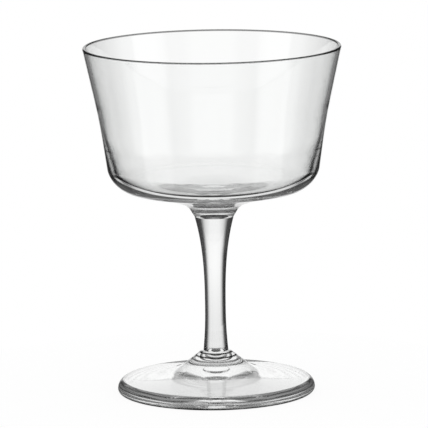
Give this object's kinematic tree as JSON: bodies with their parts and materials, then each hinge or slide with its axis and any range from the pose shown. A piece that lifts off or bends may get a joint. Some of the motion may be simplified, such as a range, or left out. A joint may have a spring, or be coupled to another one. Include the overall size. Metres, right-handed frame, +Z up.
{
  "type": "coupe glass",
  "caption": "Clear coupe glass with a flared bowl, a slim waisted stem and a round foot that rises in a smooth cone, for sparkling wine and cocktails.",
  "frame": {"origin": "on the ground, under the centre of the foot", "axes": "+Z up along the axis of the glass; X and Y are alike, because the glass is round"},
  "size_m": [0.0928, 0.0928, 0.126],
  "materials": {
    "clear_glass": "clear, fire-polished"
  },
  "bodies": {
    "root": {"bowl": "clear_glass", "stem": "clear_glass", "foot": "clear_glass"}
  },
  "joints": []
}
